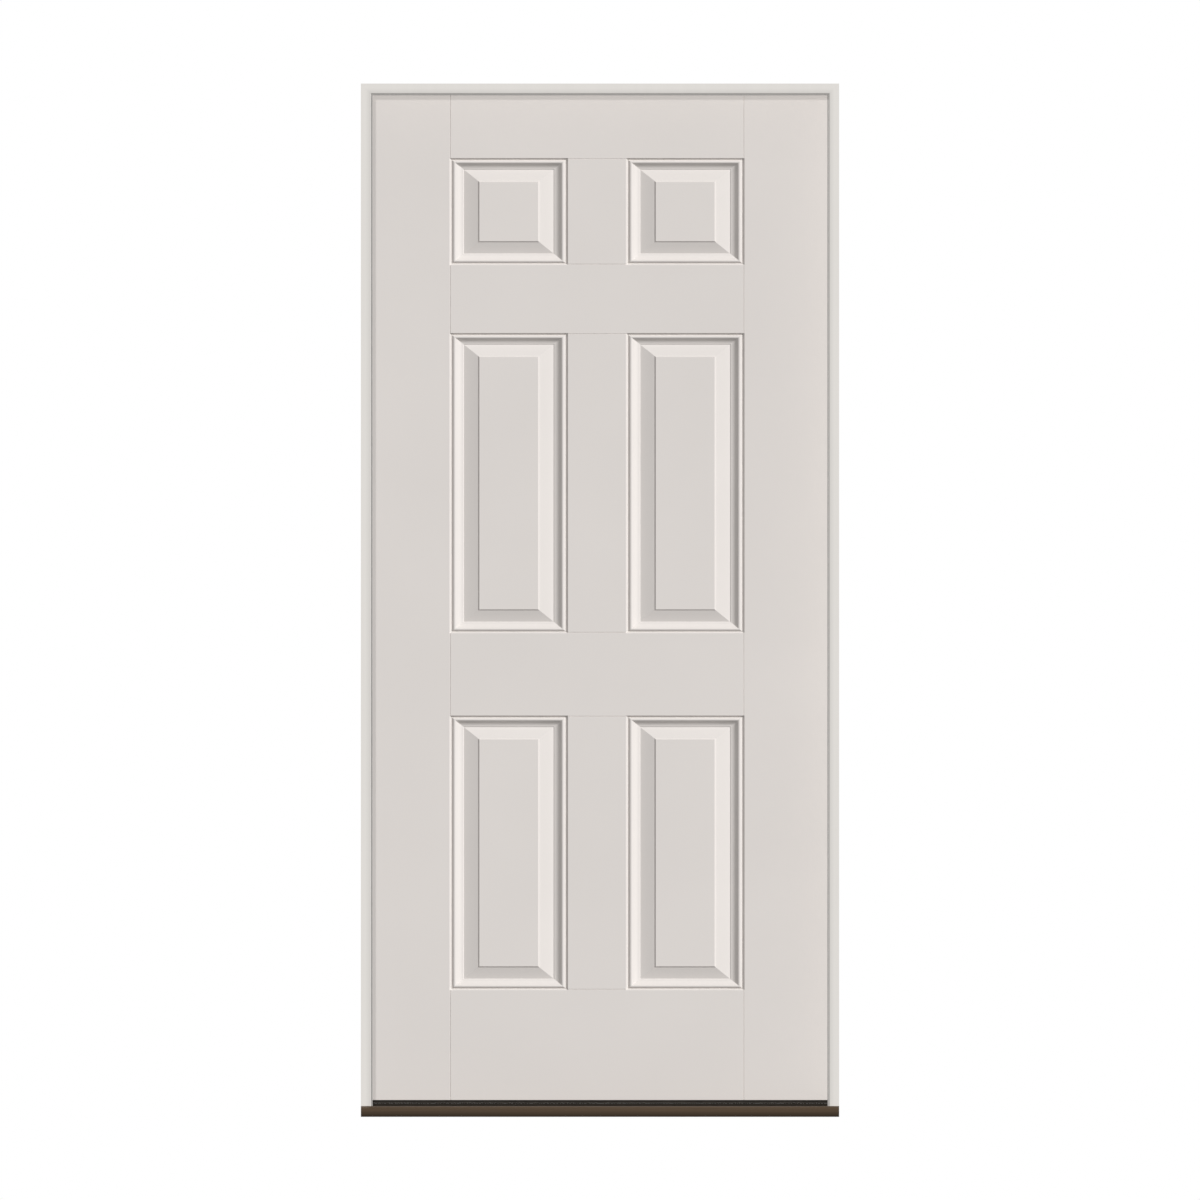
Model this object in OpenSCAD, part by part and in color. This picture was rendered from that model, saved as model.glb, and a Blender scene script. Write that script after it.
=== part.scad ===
// Panelled front door, hung in its frame.
// A moulded six-panel slab on three butt hinges, in rabbeted jambs with a metal-decked sill.
// Seen from outside the hinges are at the left, and the slab opens into the house.
// +Z is up, +Y points into the house, +X points right as seen from outside.
// The origin is the middle of the sill's underside, halfway through the depth of the jambs.

/* [Frame] */
// Overall width of the frame
frame_w = 952.5; // [780:0.5:1250]
// Overall height, from the underside of the sill to the top of the head
frame_h = 2058; // [1710:1:2500]
// Depth of the jambs through the wall
jamb_d = 116; // [96:1:200]
// Thickness of the jambs and head where they carry the stop
jamb_t = 20; // [16.5:0.5:40]
// How far the stop stands out from the rabbet
stop_proj = 8; // [6.5:0.5:10]
// Depth of the housings in the side jambs that take the ends of the head
housing_d = 4; // [2:0.5:6]
// Radius of the eased arris around the opening
arris_r = 1.2; // [1:0.1:5]

/* [Weatherstrip] */
// Space between the stop and the slab, which the weatherstrip fills
seal_gap = 5; // [4:0.5:8]
// How far the bulb shows past the stop
seal_show = 3.5; // [1:0.5:6]
// Width of the kerf that holds the weatherstrip's leg
kerf_w = 2.4; // [2:0.1:3]
// Depth of the kerf
kerf_d = 10; // [8:0.5:14]
// Clearance between a soft piece and the slab that closes on it
soft_clear = 0.3; // [0.2:0.05:0.5]
// Size of the tapered pad behind each bottom corner of the weatherstrip
pad_size = [1, 25, 50];

/* [Slab] */
// Thickness of the slab
slab_t = 44.5; // [37:0.5:57]
// Gap between the slab and the jambs and head
slab_gap = 3; // [2.5:0.1:5]
// Height of the slab's bottom edge above the sill deck
slab_lift = 11.7; // [9.5:0.1:20]
// Thickness of the moulded skins
skin_t = 2; // [1.5:0.1:3]

/* [Stiles and rails] */
// Width of the stile on the hinge side
hinge_stile_w = 161.5; // [120:0.5:200]
// Width of the stile on the lock side
lock_stile_w = 173.5; // [140:0.5:210]
// Width of the mullions between the two columns of panels
mullion_w = 115.5; // [60:0.5:150]
// Height of the top rail
top_rail_h = 133.5; // [100:0.5:200]
// Height of the frieze rail, under the top panels
frieze_rail_h = 135.5; // [80:0.5:200]
// Height of the lock rail
lock_rail_h = 164; // [100:0.5:250]
// Height of the bottom rail
bottom_rail_h = 219; // [150:0.5:300]
// Height of the top panels
top_panel_h = 213; // [150:0.5:300]
// Height of the bottom panels
bottom_panel_h = 547; // [300:0.5:650]
// Width of the fine grooves that mark the joints of stiles and rails
line_w = 1.6; // [0.8:0.1:3]
// Depth of those grooves
line_d = 1.1; // [0.3:0.1:1.2]
// Distance of the grooves inside the edge of the panel openings
line_inset = 1.6; // [1:0.1:2]

/* [Panel moulding] */
// Width of the quirk around the panel opening
quirk_w = 4.2; // [3:0.1:6]
// Depth of the quirk
quirk_d = 4.4; // [3.5:0.1:5]
// Slope of the bead's flank in the quirk, in degrees
flank_angle = 45; // [35:1:50]
// Radius of the bead's crest
crest_r = 4.4; // [3:0.1:6]
// Depth of the crest below the slab's face
crest_drop = 0.3; // [0.2:0.1:1]
// Steepest slope of the cove, in degrees
cove_angle = 40; // [30:1:45]
// Width of the straight slope between bead and cove
slope_w = 4.8; // [1:0.1:6]
// Width of the hollow of the cove
cove_w = 9.3; // [8:0.1:14]
// Width of the lip that ends the cove
lip_w = 1.7; // [0.5:0.1:3]
// Drop of that lip
lip_drop = 1.1; // [0.2:0.1:1.5]
// Width of the panel's bevel
bevel_w = 28; // [15:0.1:40]
// Width of the small step at the top of the bevel
step_w = 2.7; // [1:0.1:5]
// Height of that step
step_h = 2.4; // [0.5:0.1:3]
// Depth of the raised field below the slab's face
field_drop = 0.4; // [0:0.1:2]
// Width of the moulding's level sides as a share of its upright sides
level_share = 0.8; // [0.6:0.01:1]

/* [Slab core] */
// Width of the stiles inside the slab
stile_core_w = 32; // [26:0.5:50]
// Height of the rails inside the slab
rail_core_h = 32; // [20:0.5:60]
// Width of the lock block
lock_block_w = 100; // [60:1:120]
// Height of the lock block
lock_block_h = 300; // [200:1:500]
// Height of the middle of the lock block above the floor
lock_height = 960; // [800:1:1100]

/* [Door sweep] */
// Thickness of the sweep's base and fins
sweep_t = 1.4; // [1:0.1:2]
// Number of fins
sweep_fins = 3; // [2:1:5]
// Height of the barbs that hold the sweep in the bottom rail
barb_h = 7; // [4:0.5:12]

/* [Sill] */
// Height of the sill deck under the jambs
sill_h = 21.5; // [18:0.5:35]
// How far the sill's nose stands out in front of the jambs
sill_nose = 27; // [22:0.5:60]
// Radius of the nose
nose_r = 14; // [10:0.5:16]
// Thickness of the metal deck
deck_t = 1.6; // [1:0.1:2.5]
// Width of the channel that holds the threshold cap
channel_w = 38.8; // [30:0.1:39]
// Depth of that channel
channel_d = 8.5; // [5:0.5:9]
// Height of the threshold cap above the deck
cap_h = 5.5; // [4:0.5:7]
// How far the cap laps over each side of its channel
cap_lap = 1; // [0:0.5:1.4]
// Clearance around the cap
cap_clear = 0.3; // [0.1:0.05:0.6]

/* [Hinges] */
// Height of a hinge
hinge_h = 101.6; // [76:0.1:125]
// Thickness of a leaf
leaf_t = 2.5; // [2:0.1:3.5]
// Radius of a leaf's corners
leaf_corner_r = 16; // [3:0.5:18]
// Distance from a leaf's edge to the outside face of the slab
leaf_backset = 6.4; // [4:0.1:10]
// Distance from the slab's inside face to the hinge pin
pin_out = 12.7; // [9:0.1:16]
// Radius of the knuckles
knuckle_r = 6; // [5:0.1:8]
// Radius of the hinge pin
pin_r = 3; // [2.5:0.1:4]
// Clearance of the pin in its knuckles
pin_clear = 0.05; // [0.02:0.01:0.1]
// Gap between knuckles
knuckle_gap = 0.3; // [0.2:0.1:0.5]
// Distance from the slab's top edge to the top hinge
top_hinge_drop = 178; // [120:1:260]
// Distance from the slab's bottom edge to the bottom hinge
bottom_hinge_rise = 279; // [150:1:320]

/* [Screws] */
// Radius of the hinge screws' shanks
hinge_screw_r = 2.4; // [1.5:0.1:2.8]
// Radius of the hinge screws' heads
hinge_screw_head_r = 4.6; // [3.5:0.1:5.5]
// Length of the hinge screws in the slab
slab_screw_l = 25; // [15:1:30]
// Radius of the frame screws' shanks
frame_screw_r = 2.1; // [1.5:0.1:2.4]
// Radius of the frame screws' heads
frame_screw_head_r = 4.2; // [3:0.1:5]
// Length of the screws that hold the jambs to the head and the sill
frame_screw_l = 60; // [40:1:75]
// Length of the screws that set the height of the threshold cap
cap_screw_l = 20; // [16:1:23]
// Number of those screws
cap_screws_n = 4; // [2:1:6]

/* [Hidden] */
$fn = 48;
HINGES = ["bottom", "middle", "top"];

// Reach of a cutting solid past the face that it cuts
over = 1;
// Clearance between a screw and its hole, and between a leaf and its mortise
fit = 0.05;
// Segments in an arc of an extruded outline
arc_n = 8;

// Frame
frame_x = frame_w / 2;
jamb_y0 = -jamb_d / 2;
jamb_y1 = jamb_d / 2;
rabbet_t = jamb_t - stop_proj;
rabbet_x = frame_x - rabbet_t;
stop_x = frame_x - jamb_t;
// Timber left between the rabbet and the kerf
kerf_wall = 1.8;

// Slab
slab_x0 = -rabbet_x + slab_gap;
slab_x1 = rabbet_x - slab_gap;
slab_w = slab_x1 - slab_x0;
slab_y1 = jamb_y1;
slab_y0 = slab_y1 - slab_t;
slab_z0 = sill_h + slab_lift;
slab_z1 = frame_h - rabbet_t - slab_gap;
slab_h = slab_z1 - slab_z0;
stop_y = slab_y0 - seal_gap;

// Panels: left edges of the two columns, and [bottom, height] of the three rows
panel_w = (slab_w - hinge_stile_w - lock_stile_w - mullion_w) / 2;
panel_x = [slab_x0 + hinge_stile_w, slab_x1 - lock_stile_w - panel_w];
middle_panel_h = slab_h - top_rail_h - frieze_rail_h - lock_rail_h - bottom_rail_h
    - top_panel_h - bottom_panel_h;
bottom_panel_z = slab_z0 + bottom_rail_h;
middle_panel_z = bottom_panel_z + bottom_panel_h + lock_rail_h;
top_panel_z = middle_panel_z + middle_panel_h + frieze_rail_h;
panel_rows = [
    [bottom_panel_z, bottom_panel_h],
    [middle_panel_z, middle_panel_h],
    [top_panel_z, top_panel_h]
];

// Panel moulding: distances from the edge of the opening, and depths below the slab's face
cove_end_angle = 6.5;
flank_rise = quirk_d - crest_drop - crest_r * (1 - cos(flank_angle));
crest_u = quirk_w + flank_rise / tan(flank_angle) + crest_r * sin(flank_angle);
slope_u = crest_u + crest_r * sin(cove_angle);
slope_d = crest_drop + crest_r * (1 - cos(cove_angle));
cove_u = slope_u + slope_w;
cove_d = slope_d + slope_w * tan(cove_angle);
cove_r = cove_w / (sin(cove_angle) - sin(cove_end_angle));
valley_u = cove_u + cove_w + lip_w;
valley_d = cove_d + cove_r * (cos(cove_end_angle) - cos(cove_angle)) + lip_drop;
// Depth to which the slab's solid backing is drawn before a skin is taken off it
backing_d = valley_d + 2 * skin_t;

// Slab core
core_y0 = slab_y0 + skin_t;
core_y1 = slab_y1 - skin_t;
core_x0 = slab_x0 + stile_core_w;
core_x1 = slab_x1 - stile_core_w;

// Sill
sill_y0 = jamb_y0 - sill_nose;
channel_y0 = jamb_y1 - deck_t - channel_w;
channel_y1 = jamb_y1 - deck_t;
channel_z = sill_h - channel_d;
cap_top = sill_h + cap_h;
cap_y = (channel_y0 + channel_y1) / 2;

// Sweep
sweep_inset = 0.5;
sweep_y0 = core_y0 + sweep_inset;
sweep_y1 = core_y1 - sweep_inset;
sweep_w = sweep_y1 - sweep_y0;
sweep_tip = cap_top + soft_clear;
barb_y = [sweep_y0 + sweep_w / 4, sweep_y1 - sweep_w / 4];

// Hinges
pin_x = slab_x0 - slab_gap / 2;
pin_y = slab_y1 + pin_out;
leaf_w = pin_out + slab_t - leaf_backset;
knuckle_l = (hinge_h - 4 * knuckle_gap) / 5;
hinge_z = [
    slab_z0 + bottom_hinge_rise + hinge_h / 2,
    (slab_z0 + bottom_hinge_rise + slab_z1 - top_hinge_drop) / 2,
    slab_z1 - top_hinge_drop - hinge_h / 2
];
// Screw places in a leaf, as [distance from the pin, height from the hinge's middle]
screw_from_edge = 11;
outer_screw_z = hinge_h * 0.38;
inner_screw_z = hinge_h * 0.14;
leaf_screws = [for (s = [-1, 1]) each [
    [pin_out + screw_from_edge, s * outer_screw_z],
    [leaf_w - screw_from_edge, s * inner_screw_z]
]];
// The jamb is thin behind the frame leaf, so its screws stop just short of the jamb's back
screw_skin = 0.5;
frame_leaf_screw_l = rabbet_t - screw_skin;

// Places of the screws in the thick part of the jambs, and in the rabbet
screw_from_front = 15;
screw_from_kerf = 10;
thick_screw_y = [jamb_y0 + screw_from_front, stop_y - kerf_d - screw_from_kerf];
rabbet_screw_y = (stop_y + jamb_y1) / 2;

// Colours
slab_paint = [0.85, 0.83, 0.81];
frame_paint = [0.87, 0.855, 0.835];
seal_grey = [0.68, 0.67, 0.65];
bronze = [0.31, 0.26, 0.22];
dark_bronze = [0.19, 0.175, 0.16];
black_vinyl = [0.12, 0.115, 0.11];
pine = [0.80, 0.68, 0.50];
composite = [0.55, 0.52, 0.48];
foam = [0.93, 0.88, 0.70];
nickel = [0.74, 0.72, 0.69];
zinc = [0.78, 0.78, 0.76];

// Points along an arc from angle a0 to a1 about c
function arc(c, r, a0, a1, n = arc_n) =
    [for (i = [0:n]) let (a = a0 + (a1 - a0) * i / n) c + r * [cos(a), sin(a)]];
function reversed(list) = [for (i = [len(list) - 1:-1:0]) list[i]];

// Turns an outline drawn in (Y, Z) into a bar along X from x0 to x1
module bar_x(x0, x1) {
    translate([x0, 0, 0]) rotate([90, 0, 90]) linear_extrude(x1 - x0) children();
}

// ---- Frame ----

// Section of a jamb: x is the distance from its back, y runs from outside to inside
module jamb_section() {
    polygon(concat(
        [[0, jamb_y0]],
        arc([jamb_t - arris_r, jamb_y0 + arris_r], arris_r, -90, 0),
        [[jamb_t, stop_y], [rabbet_t, stop_y], [rabbet_t, jamb_y1], [0, jamb_y1]]
    ));
}

// The kerf in the stop's inner face, beside the rabbet
module kerf_section(w, d) {
    kerf_mid = rabbet_t + kerf_wall + kerf_w / 2;
    translate([kerf_mid - w / 2, stop_y - d]) square([w, d + over]);
}

// Section of the head, in (Y, Z)
module head_section() {
    translate([0, frame_h]) rotate(-90) jamb_section();
}

module head_solid() {
    end_x = rabbet_x + housing_d;
    bar_x(-end_x, end_x) head_section();
}

module head_jamb() {
    color(frame_paint) difference() {
        head_solid();
        bar_x(-frame_x, frame_x) translate([0, frame_h]) rotate(-90) kerf_section(kerf_w, kerf_d);
        jamb_corner_screw_set(fit);
    }
}

// Outline of the sill deck in (Y, Z), with the channel left open
module deck_outline(inset = 0) {
    nose_fall = 1.5;
    nose_end_angle = 95;
    nose_c = [sill_y0 + nose_r, sill_h - nose_r - nose_fall];
    polygon(concat(
        [[sill_y0 + inset, 0]],
        arc(nose_c, nose_r - inset, 180, nose_end_angle),
        [
            [jamb_y0, sill_h - inset],
            [channel_y0 - inset, sill_h - inset],
            [channel_y0 - inset, channel_z - inset],
            [channel_y1, channel_z - inset],
            [channel_y1, inset == 0 ? sill_h : 0]
        ],
        inset == 0 ? [[jamb_y1, sill_h], [jamb_y1, 0]] : []
    ));
}

// A side jamb at the left, coped over the sill and housed for the head
module side_jamb() {
    difference() {
        translate([-frame_x, 0, channel_z]) linear_extrude(frame_h - channel_z) difference() {
            jamb_section();
            kerf_section(kerf_w, kerf_d);
        }
        bar_x(-frame_x - over, -stop_x + over) deck_outline();
        head_solid();
        jamb_corner_screw_set(fit);
        sill_screw_set(fit);
    }
}

module hinge_jamb() {
    color(frame_paint) difference() {
        side_jamb();
        for (z = hinge_z) at_hinge(z) mirror([1, 0, 0]) leaf_plate(fit);
        frame_leaf_screw_set(fit);
    }
}

module strike_jamb() {
    color(frame_paint) mirror([1, 0, 0]) side_jamb();
}

// Screws through the side jambs into the ends of the head
module jamb_corner_screw_set(clear = 0) {
    for (side = [0, 1]) mirror([side, 0, 0]) translate([-frame_x, 0, frame_h]) {
        for (y = thick_screw_y) translate([0, y, -jamb_t / 2]) rotate([0, -90, 0])
            wood_screw(frame_screw_l, frame_screw_r, frame_screw_head_r, clear);
        translate([0, rabbet_screw_y, -rabbet_t / 2]) rotate([0, -90, 0])
            wood_screw(frame_screw_l, frame_screw_r, frame_screw_head_r, clear);
    }
}

// Screws up through the sill into the feet of the jambs
module sill_screw_set(clear = 0) {
    for (side = [-1, 1]) for (y = thick_screw_y)
        translate([side * (frame_x - jamb_t / 2), y, 0]) rotate([180, 0, 0])
            wood_screw(frame_screw_l, frame_screw_r, frame_screw_head_r, clear);
}

// ---- Weatherstrip ----

// Section of the weatherstrip, in the same plane as jamb_section
module seal_bulb_section() {
    bulb_d = seal_gap - soft_clear;
    nose_x = jamb_t + seal_show - bulb_d / 2;
    polygon(concat(
        [[rabbet_t + fit, stop_y], [nose_x, stop_y]],
        arc([nose_x, stop_y + bulb_d / 2], bulb_d / 2, -90, 90),
        [[rabbet_t + fit + bulb_d / 2, stop_y + bulb_d], [rabbet_t + fit, stop_y + bulb_d / 2]]
    ));
}

// A side weatherstrip at the left: the bulb and its leg stop under the one in the head
module side_weatherstrip() {
    top_z = frame_h - jamb_t - seal_show - fit;
    color(seal_grey) translate([-frame_x, 0, sill_h]) linear_extrude(top_z - sill_h) {
        seal_bulb_section();
        intersection() {
            kerf_section(kerf_w - 2 * fit, kerf_d - fit);
            translate([0, stop_y - kerf_d]) square([jamb_t, kerf_d]);
        }
    }
}

module head_weatherstrip() {
    color(seal_grey) union() {
        bar_x(-rabbet_x + fit, rabbet_x - fit) translate([0, frame_h]) rotate(-90)
            seal_bulb_section();
        bar_x(-stop_x, stop_x) translate([0, frame_h]) rotate(-90) intersection() {
            kerf_section(kerf_w - 2 * fit, kerf_d - fit);
            translate([0, stop_y - kerf_d]) square([jamb_t, kerf_d]);
        }
    }
}

// Tapered pad in the rabbet at the left, at the foot of the weatherstrip
module corner_pad() {
    color(seal_grey) translate([-rabbet_x, slab_y0 + pad_size.y, cap_top + cap_clear])
        rotate([90, 0, 0]) linear_extrude(pad_size.y)
            polygon([[0, 0], [pad_size.x, 0], [pad_size.x / 3, pad_size.z], [0, pad_size.z]]);
}

// ---- Sill ----

module sill_substrate() {
    color(composite) difference() {
        bar_x(-frame_x, frame_x) deck_outline(deck_t);
        sill_screw_set(fit);
        cap_screw_set(fit);
    }
}

module sill_deck() {
    color(bronze) difference() {
        bar_x(-frame_x, frame_x) difference() {
            deck_outline();
            deck_outline(deck_t);
        }
        sill_screw_set(fit);
        cap_screw_set(fit);
    }
}

module threshold_cap() {
    end_x = rabbet_x - cap_clear;
    foot = channel_w / 2 - cap_clear;
    lap = channel_w / 2 + cap_lap;
    edge_r = 2;
    color(dark_bronze) difference() {
        bar_x(-end_x, end_x) translate([cap_y, 0]) polygon(concat(
            [[-foot, channel_z + cap_clear], [foot, channel_z + cap_clear], [foot, sill_h + cap_clear]],
            [[lap, sill_h + cap_clear]],
            arc([lap - edge_r, cap_top - edge_r], edge_r, 0, 90),
            arc([edge_r - lap, cap_top - edge_r], edge_r, 90, 180),
            [[-lap, sill_h + cap_clear], [-foot, sill_h + cap_clear]]
        ));
        cap_screw_set(fit);
    }
}

// Screws that set the height of the cap
module cap_screw_set(clear = 0) {
    pitch = 2 * rabbet_x / cap_screws_n;
    for (i = [0:cap_screws_n - 1])
        translate([(i + 0.5) * pitch - rabbet_x, cap_y, cap_top])
            wood_screw(cap_screw_l, frame_screw_r, frame_screw_head_r, clear);
}

// ---- Slab ----

// Solid w wide and h high whose outline is drawn in as it goes deeper.
// Each point of the section is [inset on the upright sides, depth].
module drawn_in(w, h, section) {
    back = reversed(section);
    intersection() {
        linear_extrude(h) polygon(concat(
            [for (p = section) [p.x, p.y]],
            [for (p = back) [w - p.x, p.y]]
        ));
        bar_x(0, w) polygon(concat(
            [for (p = section) [p.y, p.x * level_share]],
            [for (p = back) [p.y, h - p.x * level_share]]
        ));
    }
}

// What the moulding takes out of a flat face for one panel, from the face inwards along +Y
module panel_recess(w, h) {
    deep = valley_d + over;
    bead_c = [crest_u, crest_drop + crest_r];
    cove_c = [cove_u + cove_r * sin(cove_angle), cove_d - cove_r * cos(cove_angle)];
    quirk = [[0, -over], [0, 0], [quirk_w, quirk_d]];
    bead = concat([[quirk_w, deep], [quirk_w, quirk_d]], arc(bead_c, crest_r, -90 - flank_angle, -90));
    cove = concat(
        [[crest_u, -over]],
        arc(bead_c, crest_r, -90, cove_angle - 90),
        arc(cove_c, cove_r, 90 + cove_angle, 90 + cove_end_angle),
        [[valley_u, valley_d]]
    );
    field = [
        [valley_u, deep],
        [valley_u, valley_d],
        [valley_u + bevel_w, field_drop + step_h],
        [valley_u + bevel_w + step_w, field_drop]
    ];
    difference() {
        union() {
            drawn_in(w, h, quirk);
            drawn_in(w, h, cove);
        }
        difference() {
            drawn_in(w, h, bead);
            drawn_in(w, h, cove);
        }
        drawn_in(w, h, field);
    }
}

module panel_recesses() {
    for (x = panel_x) for (row = panel_rows)
        translate([x, slab_y0, row[0]]) panel_recess(panel_w, row[1]);
}

// The slab's outside face as a thick solid: set back by a skin's thickness it is what the skin lies on
module moulded_face(back = 0) {
    margin = back == 0 ? 0 : over;
    translate([0, back, 0]) difference() {
        translate([slab_x0 - margin, slab_y0, slab_z0 - margin])
            cube([slab_w + 2 * margin, backing_d, slab_h + 2 * margin]);
        panel_recesses();
    }
}

// Fine V grooves along the stiles and across the mullions
module joint_lines() {
    v = [[-line_w / 2, 0], [0, line_d], [line_w / 2, 0], [line_w / 2, -over], [-line_w / 2, -over]];
    for (x = [panel_x[0] + line_inset, panel_x[1] + panel_w - line_inset])
        translate([x, slab_y0, slab_z0 - over]) linear_extrude(slab_h + 2 * over) polygon(v);
    for (row = panel_rows) for (z = [row[0] + line_inset, row[0] + row[1] - line_inset])
        bar_x(panel_x[0] + panel_w - line_inset, panel_x[1] + line_inset)
            translate([slab_y0, z]) polygon([for (p = v) [p.y, p.x]]);
}

module outside_skin() {
    color(slab_paint) difference() {
        moulded_face();
        moulded_face(skin_t);
        joint_lines();
    }
}

// Mirrors a solid at the outside face of the slab onto its inside face
module to_inside_face() {
    translate([0, slab_y0 + slab_y1, 0]) mirror([0, 1, 0]) children();
}

module inside_skin() {
    color(slab_paint) difference() {
        to_inside_face() difference() {
            moulded_face();
            moulded_face(skin_t);
            joint_lines();
        }
        for (z = hinge_z) at_hinge(z) leaf_plate(fit);
    }
}

module foam_core() {
    color(foam) difference() {
        translate([core_x0, core_y0, slab_z0 + rail_core_h])
            cube([core_x1 - core_x0, core_y1 - core_y0, slab_h - 2 * rail_core_h]);
        translate([0, skin_t, 0]) panel_recesses();
        to_inside_face() translate([0, skin_t, 0]) panel_recesses();
        lock_block_solid();
    }
}

// A stile inside the slab, between the skins
module stile_core(x0) {
    translate([x0, core_y0, slab_z0]) cube([stile_core_w, core_y1 - core_y0, slab_h]);
}

module hinge_stile() {
    color(pine) difference() {
        stile_core(slab_x0);
        for (z = hinge_z) at_hinge(z) leaf_plate(fit);
        door_leaf_screw_set(fit);
    }
}

module lock_stile() {
    color(pine) stile_core(core_x1);
}

module lock_block_solid() {
    translate([core_x1 - lock_block_w, core_y0, lock_height - lock_block_h / 2])
        cube([lock_block_w, core_y1 - core_y0, lock_block_h]);
}

module lock_block() {
    color(pine) lock_block_solid();
}

module rail_core(z0) {
    translate([core_x0, core_y0, z0]) cube([core_x1 - core_x0, core_y1 - core_y0, rail_core_h]);
}

module top_rail() {
    color(composite) rail_core(slab_z1 - rail_core_h);
}

module bottom_rail() {
    color(composite) difference() {
        rail_core(slab_z0);
        for (y = barb_y) translate([core_x0 - over, y - sweep_t / 2 - fit, slab_z0 - over])
            cube([core_x1 - core_x0 + 2 * over, sweep_t + 2 * fit, barb_h + fit + over]);
    }
}

// Vinyl strip under the slab: a base, fins that brush the threshold cap, and barbs in the bottom rail
module door_sweep() {
    fin_pitch = (sweep_w - sweep_t) / (sweep_fins - 1);
    color(black_vinyl) {
        bar_x(slab_x0, slab_x1) {
            translate([sweep_y0, slab_z0 - sweep_t]) square([sweep_w, sweep_t]);
            for (i = [0:sweep_fins - 1]) translate([sweep_y0 + i * fin_pitch, sweep_tip])
                square([sweep_t, slab_z0 - sweep_tip - sweep_t / 2]);
        }
        bar_x(core_x0, core_x1) for (y = barb_y)
            translate([y - sweep_t / 2, slab_z0 - sweep_t / 2]) square([sweep_t, barb_h + sweep_t / 2]);
    }
}

// ---- Hinges ----

module at_hinge(z) {
    translate([pin_x, pin_y, z]) children();
}

// The flat of a leaf on the slab's side of the pin, at the origin
module leaf_plate(clear = 0) {
    far = -leaf_w - clear;
    near = -knuckle_r - 2 * knuckle_gap;
    half = hinge_h / 2 + clear;
    corner = [far + leaf_corner_r, half - leaf_corner_r];
    bar_x(slab_gap / 2 - (clear > 0 ? over : 0), slab_gap / 2 + leaf_t + clear) polygon(concat(
        [[near, -half], [near, half]],
        arc(corner, leaf_corner_r, 90, 180),
        arc([corner.x, -corner.y], leaf_corner_r, 180, 270)
    ));
}

// One leaf: a plate with knuckles rolled at every second place along the pin
module leaf(first) {
    difference() {
        union() {
            leaf_plate();
            for (k = [first:2:4]) translate([0, 0, k * (knuckle_l + knuckle_gap) - hinge_h / 2]) {
                cylinder(r = knuckle_r, h = knuckle_l);
                translate([slab_gap / 2, -knuckle_r - 4 * knuckle_gap, 0])
                    cube([leaf_t, knuckle_r + 4 * knuckle_gap, knuckle_l]);
            }
        }
        translate([0, 0, -hinge_h / 2 - over])
            cylinder(r = pin_r + pin_clear, h = hinge_h + 2 * over);
        for (s = leaf_screws) translate([slab_gap / 2, -s[0], s[1]]) rotate([0, -90, 0])
            wood_screw(slab_screw_l, hinge_screw_r, hinge_screw_head_r, fit);
    }
}

module hinge_frame_leaf(z) {
    color(nickel) at_hinge(z) mirror([1, 0, 0]) leaf(0);
}

module hinge_door_leaf(z) {
    color(nickel) at_hinge(z) leaf(1);
}

// A pin with a round head that rests on the top knuckle
module hinge_pin(z) {
    head_r = knuckle_r - 0.6;
    head_h = 3;
    tip_h = 1.5;
    half = hinge_h / 2;
    color(nickel) at_hinge(z) rotate_extrude() polygon(concat(
        [[0, -half - tip_h], [pin_r - tip_h, -half - tip_h], [pin_r, -half]],
        [[pin_r, half], [head_r, half], [head_r, half + head_h / 2]],
        [[head_r - head_h / 2, half + head_h], [0, half + head_h]]
    ));
}

module door_leaf_screw_set(clear = 0) {
    for (z = hinge_z) at_hinge(z) for (s = leaf_screws)
        translate([slab_gap / 2, -s[0], s[1]]) rotate([0, -90, 0])
            wood_screw(slab_screw_l, hinge_screw_r, hinge_screw_head_r, clear);
}

module frame_leaf_screw_set(clear = 0) {
    for (z = hinge_z) at_hinge(z) mirror([1, 0, 0]) for (s = leaf_screws)
        translate([slab_gap / 2, -s[0], s[1]]) rotate([0, -90, 0])
            wood_screw(frame_leaf_screw_l, hinge_screw_r, hinge_screw_head_r, clear);
}

// Countersunk screw pointing down from the origin, with a cross recess.
// Given a clearance it is the hole for that screw, open at the top.
module wood_screw(l, r, head_r, clear = 0) {
    recess = head_r * [1.2, 0.25, 0.33];
    difference() {
        rotate_extrude() polygon(concat(
            clear > 0 ? [[0, over], [head_r + clear, over]] : [[0, 0]],
            [[head_r + clear, 0], [r + clear, r - head_r]],
            [[r + clear, 2 * r - l], [0, -l - clear]]
        ));
        if (clear == 0) for (a = [0, 90]) rotate(a)
            translate([-recess.x / 2, -recess.y / 2, -recess.z]) cube([recess.x, recess.y, recess.z + over]);
    }
}

// ---- Nodes ----

hinge_jamb();
strike_jamb();
head_jamb();
color(zinc) jamb_corner_screw_set();  // jamb_corner_screws
side_weatherstrip();  // hinge_side_weatherstrip
mirror([1, 0, 0]) side_weatherstrip();  // strike_side_weatherstrip
head_weatherstrip();
corner_pad();  // hinge_side_corner_pad
mirror([1, 0, 0]) corner_pad();  // strike_side_corner_pad
sill_substrate();
sill_deck();
color(zinc) sill_screw_set();  // sill_screws
threshold_cap();
color(zinc) cap_screw_set();  // cap_adjusting_screws
outside_skin();
inside_skin();
foam_core();
hinge_stile();
lock_stile();
lock_block();
top_rail();
bottom_rail();
door_sweep();
for (i = [0:2]) {
    hinge_frame_leaf(hinge_z[i]);
    hinge_door_leaf(hinge_z[i]);
    hinge_pin(hinge_z[i]);
}
color(nickel) frame_leaf_screw_set();  // frame_leaf_screws
color(nickel) door_leaf_screw_set();  // door_leaf_screws
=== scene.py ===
import math
import bmesh
import bpy
from mathutils import Matrix, Vector


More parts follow.
